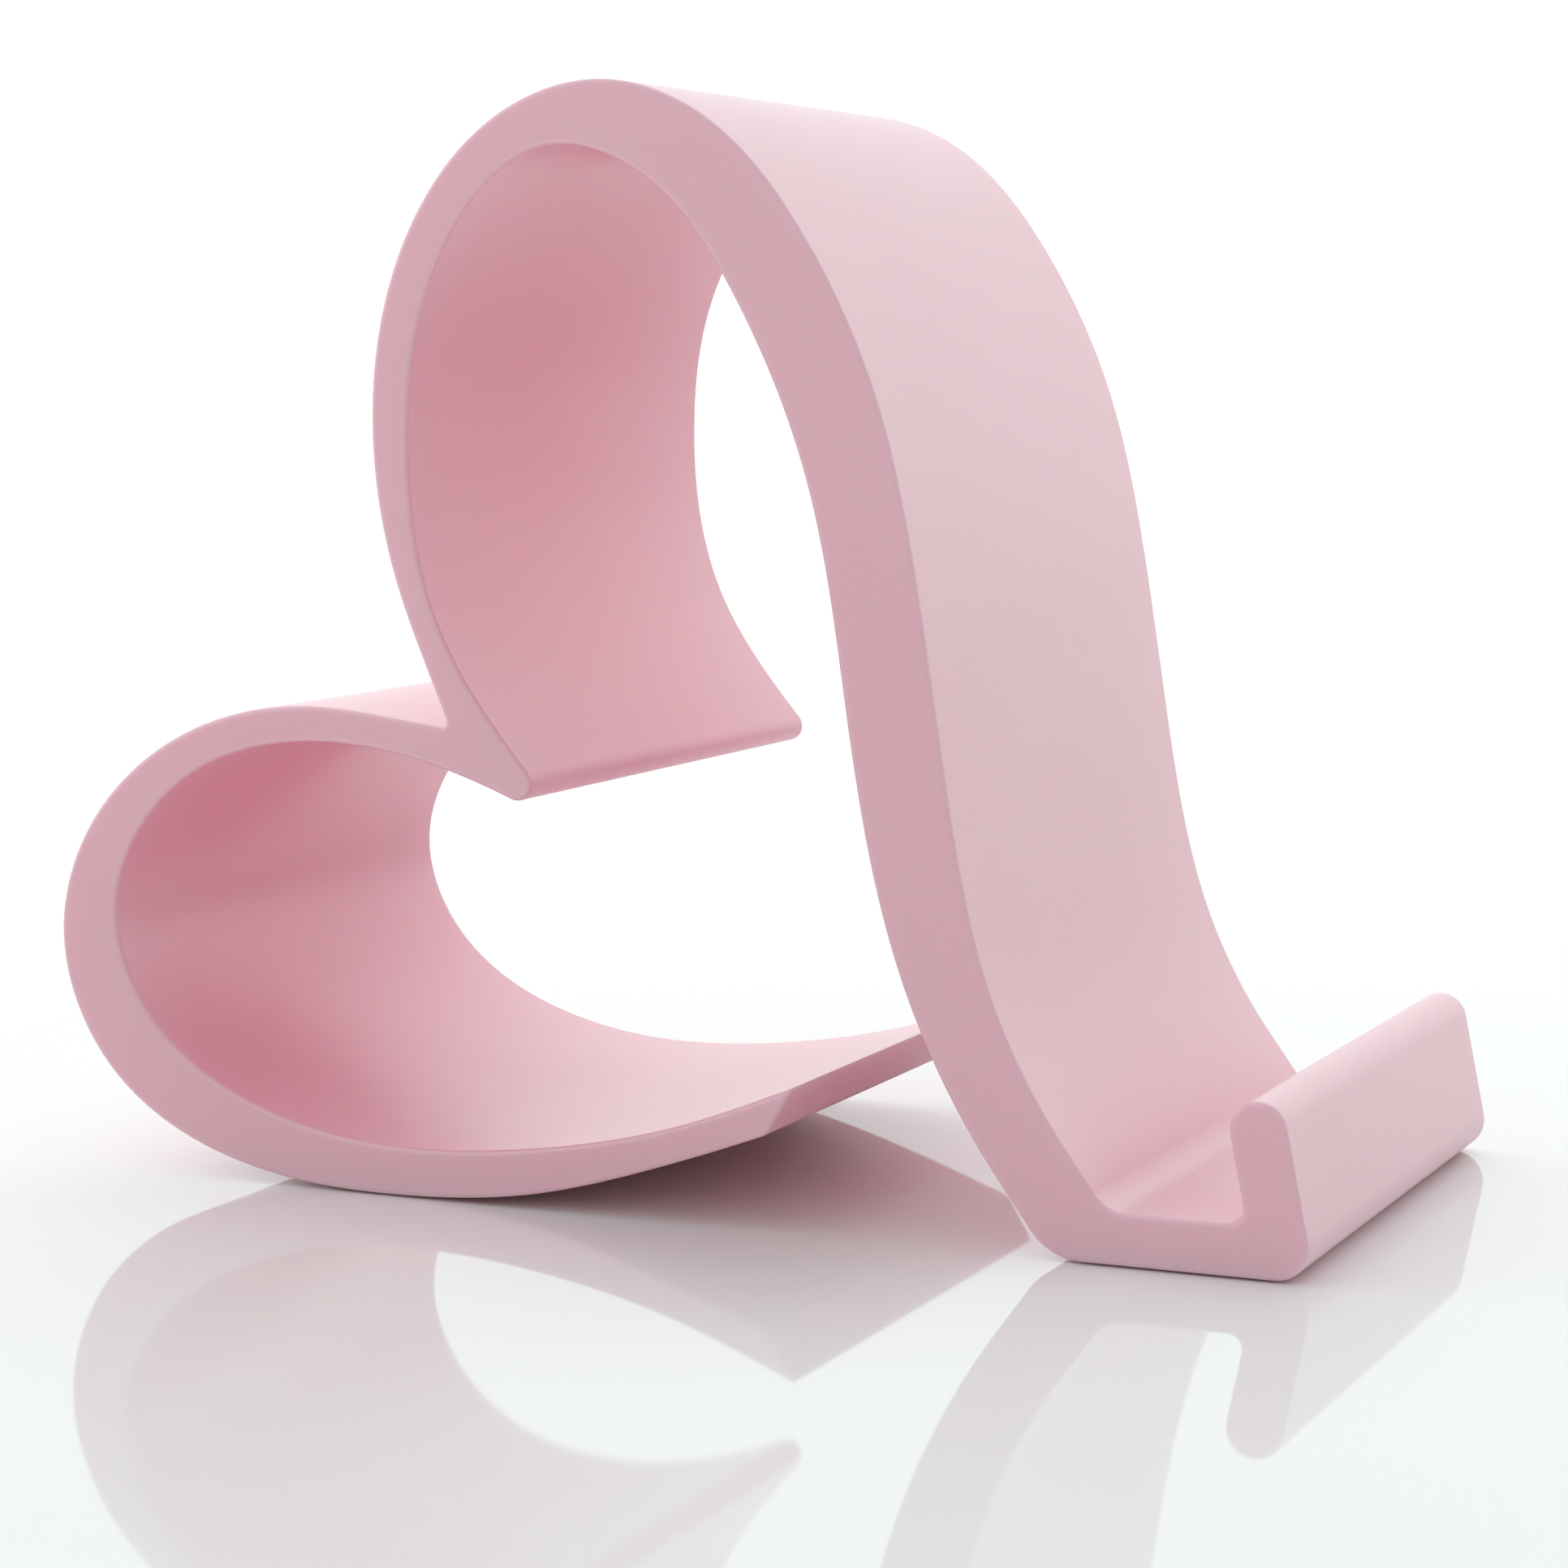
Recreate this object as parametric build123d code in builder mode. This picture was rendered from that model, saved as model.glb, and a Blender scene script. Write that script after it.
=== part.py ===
from build123d import *
from math import cos, radians, sin
import os

# Heart-shaped phone stand: one wide plastic ribbon, seen from its side as a heart lying over,
# which also makes the back rest, the tray and the lip.  It rests on four soft pads.
# +X points to the lip, +Y across the ribbon and +Z up.  Millimetres.

# Overall sizes
total_length = 139.5  # back of the lower lobe to the front of the lip
total_height = 115.0  # resting surface to the crown
ribbon_width = 70.0

# Ribbon wall where it changes, from the cleft over the crown to the foot of the back rest
cleft_wall = 3.0
upper_back_wall = 4.2
brow_wall = 4.5
crown_wall = 5.4
shoulder_wall = 8.4
rest_wall = 9.4
knee_wall = 8.5
rest_foot_wall = 7.8

# Ribbon wall from the cleft round the lower lobe to the tail
lobe_top_wall = 3.8
lobe_shoulder_wall = 4.4
lobe_back_wall = 6.6
lobe_heel_wall = 7.8
lobe_base_wall = 6.2
tail_root_wall = 4.7
tail_wall = 3.5

# Tray and lip, which hold the phone
tray_wall = 5.2
tray_depth = 14.1  # back rest to lip, along the tray
foot_length = 8.0  # straight foot of the back rest
foot_slope = 54.0  # degrees, that foot above the tray
lip_height = 17.4  # resting surface to the top of the lip
lip_wall = 5.7
lip_lean = 11.5  # degrees, towards the back rest

# Corner radii along the ribbon
rest_foot_radius = 4.0
lip_foot_radius = 1.4
lip_corner_radius = 3.3
heel_radius = 6.5
tail_radius = 2.0
cleft_radius = 0.6
tip_radius = 1.7  # blunt point of the ribbon inside the cleft
tip_turn = 153.0  # degrees, how far round that point the ribbon's surface turns

edge_radius = 0.5  # both side outlines

# Soft pads, glued into pockets on the underside
pad_diameter = 10.0
pad_thickness = 1.4
pad_edge_radius = 0.4
pocket_depth = 1.2
pocket_clearance = 0.2  # all round the pad
pad_inset = 14.0  # pad centre to the ribbon's side

base_z = pad_thickness - pocket_depth  # the plastic stands this high on its pads
tray_z = base_z + tray_wall


def spot(across, up):
    """A point of the outline, as shares of the overall length and height."""
    return Vector(total_length * (across - 0.5), total_height * up)


def inside(edge, share, wall, side):
    """The point one wall inside an outer edge, a share of its length along it."""
    reach = share * edge.length
    along = edge.tangent_at(reach, position_mode=PositionMode.LENGTH)
    start = edge.position_at(reach, position_mode=PositionMode.LENGTH)
    return start + Vector(-along.Y, along.X) * (side * wall)


# Lip, from its outer corner on the resting surface: it leans back and ends in a full round
lean = radians(lip_lean)
lip_up = Vector(-sin(lean), cos(lean))
lip_out = Vector(cos(lean), sin(lean))
corner_overhang = lip_corner_radius * ((1 + sin(lean)) / cos(lean) - 1)
front_corner = Vector(total_length / 2 + corner_overhang, base_z)
inner_corner = front_corner - lip_out * lip_wall
lip_middle = front_corner - lip_out * (lip_wall / 2)
lip_centre = lip_middle + lip_up * ((lip_height - lip_wall / 2 - lip_middle.Y) / lip_up.Y)
lip_foot = inner_corner + lip_up * ((tray_z - inner_corner.Y) / lip_up.Y)

# Foot of the back rest, on the tray and below it
slope = radians(foot_slope)
foot_run = Vector(cos(slope), -sin(slope))
foot_back = Vector(foot_run.Y, -foot_run.X)
rest_foot = Vector(lip_foot.X - tray_depth, tray_z)
knee = rest_foot - foot_run * foot_length
heel_start = rest_foot + foot_back * rest_foot_wall
heel = heel_start + foot_run * ((base_z - heel_start.Y) / foot_run.Y)

# Pads: one pair in the middle of the tray, the other under the lowest line of the lower lobe
lobe_rest = Vector(spot(0.295, 0).X, base_z)
pocket_floor = base_z + pocket_depth
front_pad_x = (rest_foot.X + lip_foot.X) / 2
pad_y = ribbon_width / 2 - pad_inset
pad_centres = {
    "front_left_pad": (front_pad_x, pad_y),
    "front_right_pad": (front_pad_x, -pad_y),
    "rear_left_pad": (lobe_rest.X, pad_y),
    "rear_right_pad": (lobe_rest.X, -pad_y),
}

with BuildPart() as heart_body:
    with BuildSketch(Plane.XZ):
        with BuildLine():
            cleft = spot(0.342, 0.431)
            upper_outer = Spline(
                cleft,
                spot(0.297, 0.566),
                spot(0.2795, 0.710),
                spot(0.305, 0.857),
                spot(0.376, 0.965),
                spot(0.466, 1.0),
                spot(0.546, 0.969),
                spot(0.6265, 0.863),
                spot(0.681, 0.727),
                spot(0.7115, 0.573),
                spot(0.7305, 0.430),
                spot(0.749, 0.305),
                spot(0.765, 0.235),
                knee,
                tangents=((-0.38, 0.92), (foot_run.X, foot_run.Y)),
                tangent_scalars=(1, 1),
            )
            Line(knee, rest_foot)
            Line(rest_foot, lip_foot)
            lip_inner_top = lip_centre - lip_out * (lip_wall / 2)
            lip_outer_top = lip_centre + lip_out * (lip_wall / 2)
            Line(lip_foot, lip_inner_top)
            ThreePointArc(lip_inner_top, lip_centre + lip_up * (lip_wall / 2), lip_outer_top)
            Line(lip_outer_top, front_corner)
            Line(front_corner, heel)
            heel_knee = knee + foot_back * rest_foot_wall
            Line(heel, heel_knee)
            tip_top = spot(0.4064, 0.3935)
            tip_run = Vector(0.65, -0.76)
            Spline(
                heel_knee,
                inside(upper_outer, 0.91, knee_wall, -1),
                inside(upper_outer, 0.78, rest_wall, -1),
                inside(upper_outer, 0.66, rest_wall, -1),
                inside(upper_outer, 0.54, rest_wall, -1),
                inside(upper_outer, 0.45, shoulder_wall, -1),
                inside(upper_outer, 0.36, crown_wall, -1),
                inside(upper_outer, 0.26, brow_wall, -1),
                inside(upper_outer, 0.16, upper_back_wall, -1),
                inside(upper_outer, 0.05, cleft_wall, -1),
                tip_top,
                tangents=((-foot_run.X, -foot_run.Y), (tip_run.X, tip_run.Y)),
                tangent_scalars=(1, 1),
            )
            tip_round = JernArc(tip_top, tip_run, tip_radius, -tip_turn)
            tail_tip = spot(0.6185, 0.131)
            tail_under = spot(0.5975, 0.087)
            lower_outer = Spline(
                cleft,
                spot(0.222, 0.446),
                spot(0.100, 0.408),
                spot(0.017, 0.306),
                spot(0.0, 0.222),
                spot(0.042, 0.097),
                spot(0.147, 0.022),
                lobe_rest,
                spot(0.409, 0.0145),
                spot(0.503, 0.046),
                tail_under,
                tangents=((-0.99, 0.10), (0.93, 0.36)),
                tangent_scalars=(1, 1),
            )
            Spline(
                tip_round @ 1,
                inside(lower_outer, 0.12, lobe_top_wall, 1),
                inside(lower_outer, 0.235, lobe_shoulder_wall, 1),
                inside(lower_outer, 0.36, lobe_back_wall, 1),
                inside(lower_outer, 0.46, lobe_heel_wall, 1),
                inside(lower_outer, 0.64, lobe_base_wall, 1),
                inside(lower_outer, 0.83, tail_root_wall, 1),
                inside(lower_outer, 0.94, tail_wall, 1),
                tail_tip,
                tangents=(tip_round % 1, (0.92, 0.385)),
                tangent_scalars=(1, 1),
            )
            Line(tail_tip, tail_under)
        make_face()
    extrude(amount=ribbon_width / 2, both=True)

    def ridge(point):
        """The edge across the ribbon that passes through an outline point."""
        return heart_body.edges().filter_by(Axis.Y).sort_by_distance((point.X, 0, point.Y))[0]

    fillet(ridge(rest_foot), rest_foot_radius)
    fillet(ridge(lip_foot), lip_foot_radius)
    fillet(ridge(front_corner), lip_corner_radius)
    fillet(ridge(heel), heel_radius)
    fillet(ridge(tail_under), tail_radius)
    fillet(ridge(cleft), cleft_radius)
    for side_face in (heart_body.faces().sort_by(Axis.Y)[0], heart_body.faces().sort_by(Axis.Y)[-1]):
        fillet(side_face.edges(), edge_radius)
    with BuildSketch(Plane.XY.offset(pocket_floor)):
        with Locations(*pad_centres.values()):
            Circle(pad_diameter / 2 + pocket_clearance)
    extrude(amount=-pad_thickness, mode=Mode.SUBTRACT)

heart_body.part.label = "heart_body"
os.makedirs("parts", exist_ok=True)
export_step(heart_body.part, "parts/heart_body.step")

# Soft pads: flat discs from the resting surface up to the floor of their pockets
for pad_name, pad_centre in pad_centres.items():
    with BuildPart() as pad:
        with BuildSketch():
            with Locations(pad_centre):
                Circle(pad_diameter / 2)
        extrude(amount=pad_thickness)
        fillet(pad.edges().sort_by(Axis.Z)[0], pad_edge_radius)
    pad.part.label = pad_name
    export_step(pad.part, f"parts/{pad_name}.step")
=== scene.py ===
import math

import bpy
from mathutils import Matrix, Vector

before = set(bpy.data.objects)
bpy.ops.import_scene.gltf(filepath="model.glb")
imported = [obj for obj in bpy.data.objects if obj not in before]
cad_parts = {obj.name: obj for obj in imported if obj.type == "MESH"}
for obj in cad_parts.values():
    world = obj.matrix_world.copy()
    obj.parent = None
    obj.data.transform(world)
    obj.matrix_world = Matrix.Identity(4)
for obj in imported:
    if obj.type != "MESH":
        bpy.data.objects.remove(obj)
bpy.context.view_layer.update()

# A heart-shaped phone stand: one wide ribbon of satin pink plastic on four pale soft pads,
# on a polished pale table in soft white light.  Metres.

scene = bpy.context.scene
scene.view_settings.view_transform = "Standard"

# Camera, at the front right of the stand and a little above its middle
CAMERA_PLACE = Vector((0.1706, -0.3870, 0.0880))
CAMERA_YAW = math.radians(23.76)  # from +Y towards -X
CAMERA_PITCH = math.radians(6.30)  # downwards
CAMERA_LENS = 89.8  # mm, on a sensor of CAMERA_SENSOR mm
CAMERA_SENSOR = 36.0
CAMERA_CLIP_START = 0.01

# Mottle of both materials: the noise values where the darker colour ends and the paler one begins
MOTTLE_ENDS = (0.30, 0.70)

# Pink plastic
PLASTIC_DARKER = (0.920, 0.494, 0.582)
PLASTIC_PALER = (0.935, 0.514, 0.602)
PLASTIC_MOTTLE = 28.0  # noise scales of the mottle, the change of gloss and the grain, per metre
PLASTIC_GLOSS = 60.0
PLASTIC_GRAIN = 2400.0
PLASTIC_ROUGHNESS = (0.36, 0.46)
PLASTIC_GRAIN_STRENGTH = 0.06
PLASTIC_GRAIN_DEPTH = 0.00005
PLASTIC_IOR = 1.55
COAT_ROUGHNESS = 0.4
COAT_IOR = 1.75
GLOW_SHARE = 0.4  # of the light that goes into the plastic and comes out near by
GLOW_RADIUS = (1.0, 0.3, 0.42)  # red travels furthest
GLOW_SCALE = 0.006

# Painted shade: the plastic's colour is made deeper in the hollows than on the open faces, where the
# stand's own walls close a surface in
PAINTED_SHADE_REACH = 0.05  # walls further off than this close nothing in
PAINTED_SHADE_FULL = 0.35  # the tint is full where this share of the view outwards is open
PAINTED_SHADE_NONE = 0.85  # and there is none from here on
PAINTED_SHADE_TINT = (1.0, 0.77, 0.90)
PAINTED_SHADE_SAMPLES = 16

# Pale silicone of the pads
PAD_SUFFIX = "_pad"
SILICONE_DARKER = (0.600, 0.545, 0.545)
SILICONE_PALER = (0.650, 0.590, 0.590)
SILICONE_MOTTLE = 300.0
SILICONE_GRAIN = 3500.0
SILICONE_ROUGHNESS = (0.55, 0.70)
SILICONE_GRAIN_STRENGTH = 0.15
SILICONE_GRAIN_DEPTH = 0.00008

# Polished table top
FLOOR_RADIUS = 3.0
FLOOR_CORNERS = 96
FLOOR_COLOUR = (0.952, 0.95, 0.948)
FLOOR_ROUGHNESS = 0.04
FLOOR_IOR = 1.45

# Light from everywhere, brighter from behind the stand
BACK_LIGHT = (1.24, 1.275, 1.265)
FRONT_LIGHT = (0.560, 0.632, 0.620)
BRIGHT_SIDE = Vector((-0.68, 0.70, -0.10))
LIGHT_CHANGE = 0.6  # half the change from front to back, as a cosine


def node(tree, kind, **settings):
    made = tree.nodes.new(kind)
    for name, value in settings.items():
        setattr(made, name, value)
    return made


def new_material(name):
    material = bpy.data.materials.new(name)
    material.use_nodes = True
    tree = material.node_tree
    shader = tree.nodes["Principled BSDF"]
    return material, tree, shader


def ramp(tree, source, ends, colours):
    """A colour that goes from the first to the second as source goes from one end to the other."""
    made = node(tree, "ShaderNodeValToRGB")
    for element, place, colour in zip(made.color_ramp.elements, ends, colours):
        element.position = place
        element.color = (*colour, 1)
    tree.links.new(source, made.inputs["Fac"])
    return made.outputs["Color"]


def noise(tree, coords, scale, detail):
    made = node(tree, "ShaderNodeTexNoise")
    made.inputs["Scale"].default_value = scale
    made.inputs["Detail"].default_value = detail
    tree.links.new(coords, made.inputs["Vector"])
    return made.outputs["Fac"]


def spread(tree, source, ends):
    """source, 0 to 1, spread from one end to the other."""
    made = node(tree, "ShaderNodeMapRange")
    made.inputs["To Min"].default_value, made.inputs["To Max"].default_value = ends
    tree.links.new(source, made.inputs["Value"])
    return made.outputs["Result"]


def add_grain(tree, shader, coords, scale, strength, depth):
    """A fine moulded grain, as bump."""
    bump = node(tree, "ShaderNodeBump")
    bump.inputs["Strength"].default_value = strength
    bump.inputs["Distance"].default_value = depth
    tree.links.new(noise(tree, coords, scale, detail=2.0), bump.inputs["Height"])
    tree.links.new(bump.outputs["Normal"], shader.inputs["Normal"])


# ---------------------------------------------------------------- camera
def make_camera():
    data = bpy.data.cameras.new("camera")
    data.sensor_width = CAMERA_SENSOR
    data.lens = CAMERA_LENS
    data.clip_start = CAMERA_CLIP_START
    camera = bpy.data.objects.new("camera", data)
    forward = Vector((
        -math.sin(CAMERA_YAW) * math.cos(CAMERA_PITCH),
        math.cos(CAMERA_YAW) * math.cos(CAMERA_PITCH),
        -math.sin(CAMERA_PITCH),
    ))
    turn = forward.to_track_quat("-Z", "Y").to_matrix().to_4x4()
    camera.matrix_world = Matrix.Translation(CAMERA_PLACE) @ turn
    scene.collection.objects.link(camera)
    scene.camera = camera


# ---------------------------------------------------------------- materials
def painted_hollow_shade(tree):
    """Painted shade: white on open faces, a deeper pink tint where the object's own walls close a
    surface in.
    """
    depth = node(tree, "ShaderNodeAmbientOcclusion", only_local=True, samples=PAINTED_SHADE_SAMPLES)
    depth.inputs["Distance"].default_value = PAINTED_SHADE_REACH
    white = (1.0, 1.0, 1.0)
    return ramp(tree, depth.outputs["AO"], (PAINTED_SHADE_FULL, PAINTED_SHADE_NONE), (PAINTED_SHADE_TINT, white))


def pink_plastic():
    """Satin plastic with a faint mottle, a soft change of gloss, a fine grain and painted shade that
    deepens the colour in the hollows.
    """
    material, tree, shader = new_material("pink_plastic")
    coords = node(tree, "ShaderNodeTexCoord").outputs["Object"]
    mottle = noise(tree, coords, PLASTIC_MOTTLE, detail=3.0)
    colour = ramp(tree, mottle, MOTTLE_ENDS, (PLASTIC_DARKER, PLASTIC_PALER))
    # The mottled colour multiplied by the painted shade of the hollows
    colour_with_painted_shade = node(tree, "ShaderNodeMixRGB", blend_type="MULTIPLY")
    colour_with_painted_shade.inputs["Fac"].default_value = 1.0
    tree.links.new(colour, colour_with_painted_shade.inputs["Color1"])
    tree.links.new(painted_hollow_shade(tree), colour_with_painted_shade.inputs["Color2"])
    tree.links.new(colour_with_painted_shade.outputs["Color"], shader.inputs["Base Color"])
    gloss = noise(tree, coords, PLASTIC_GLOSS, detail=4.0)
    tree.links.new(spread(tree, gloss, PLASTIC_ROUGHNESS), shader.inputs["Roughness"])
    add_grain(tree, shader, coords, PLASTIC_GRAIN, PLASTIC_GRAIN_STRENGTH, PLASTIC_GRAIN_DEPTH)
    shader.inputs["IOR"].default_value = PLASTIC_IOR
    shader.inputs["Coat Weight"].default_value = 1.0
    shader.inputs["Coat Roughness"].default_value = COAT_ROUGHNESS
    shader.inputs["Coat IOR"].default_value = COAT_IOR
    shader.inputs["Subsurface Weight"].default_value = GLOW_SHARE
    shader.inputs["Subsurface Radius"].default_value = GLOW_RADIUS
    shader.inputs["Subsurface Scale"].default_value = GLOW_SCALE
    return material


def pale_silicone():
    """Matt rubbery silicone with a fine speckle."""
    material, tree, shader = new_material("pale_silicone")
    coords = node(tree, "ShaderNodeTexCoord").outputs["Object"]
    mottle = noise(tree, coords, SILICONE_MOTTLE, detail=3.0)
    colour = ramp(tree, mottle, MOTTLE_ENDS, (SILICONE_DARKER, SILICONE_PALER))
    tree.links.new(colour, shader.inputs["Base Color"])
    tree.links.new(spread(tree, mottle, SILICONE_ROUGHNESS), shader.inputs["Roughness"])
    add_grain(tree, shader, coords, SILICONE_GRAIN, SILICONE_GRAIN_STRENGTH, SILICONE_GRAIN_DEPTH)
    return material


def dress(name, material):
    """Gives a CAD node its material."""
    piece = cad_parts[name]
    piece.data.materials.clear()
    piece.data.materials.append(material)


# ---------------------------------------------------------------- floor and light
def make_floor():
    """A pale, polished table top."""
    bpy.ops.mesh.primitive_circle_add(vertices=FLOOR_CORNERS, radius=FLOOR_RADIUS, fill_type="NGON")
    floor = bpy.context.object
    floor.name = "floor"
    material, tree, shader = new_material("floor")
    shader.inputs["Base Color"].default_value = (*FLOOR_COLOUR, 1)
    shader.inputs["Roughness"].default_value = FLOOR_ROUGHNESS
    shader.inputs["IOR"].default_value = FLOOR_IOR
    floor.data.materials.append(material)


def make_world():
    """Soft white light from everywhere, brighter towards BRIGHT_SIDE."""
    world = bpy.data.worlds.new("studio")
    scene.world = world
    world.use_nodes = True
    tree = world.node_tree
    way = node(tree, "ShaderNodeTexCoord").outputs["Generated"]
    dot = node(tree, "ShaderNodeVectorMath", operation="DOT_PRODUCT")
    dot.inputs[1].default_value = BRIGHT_SIDE.normalized()
    tree.links.new(way, dot.inputs[0])
    rise = node(tree, "ShaderNodeMapRange", interpolation_type="SMOOTHSTEP")
    rise.inputs["From Min"].default_value = -LIGHT_CHANGE
    rise.inputs["From Max"].default_value = LIGHT_CHANGE
    tree.links.new(dot.outputs["Value"], rise.inputs["Value"])
    light = node(tree, "ShaderNodeMixRGB")
    light.inputs["Color1"].default_value = (*FRONT_LIGHT, 1)
    light.inputs["Color2"].default_value = (*BACK_LIGHT, 1)
    tree.links.new(rise.outputs["Result"], light.inputs["Fac"])
    tree.links.new(light.outputs["Color"], tree.nodes["Background"].inputs["Color"])


make_camera()
body_material = pink_plastic()
pad_material = pale_silicone()
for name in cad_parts:
    dress(name, pad_material if name.endswith(PAD_SUFFIX) else body_material)
make_floor()
make_world()
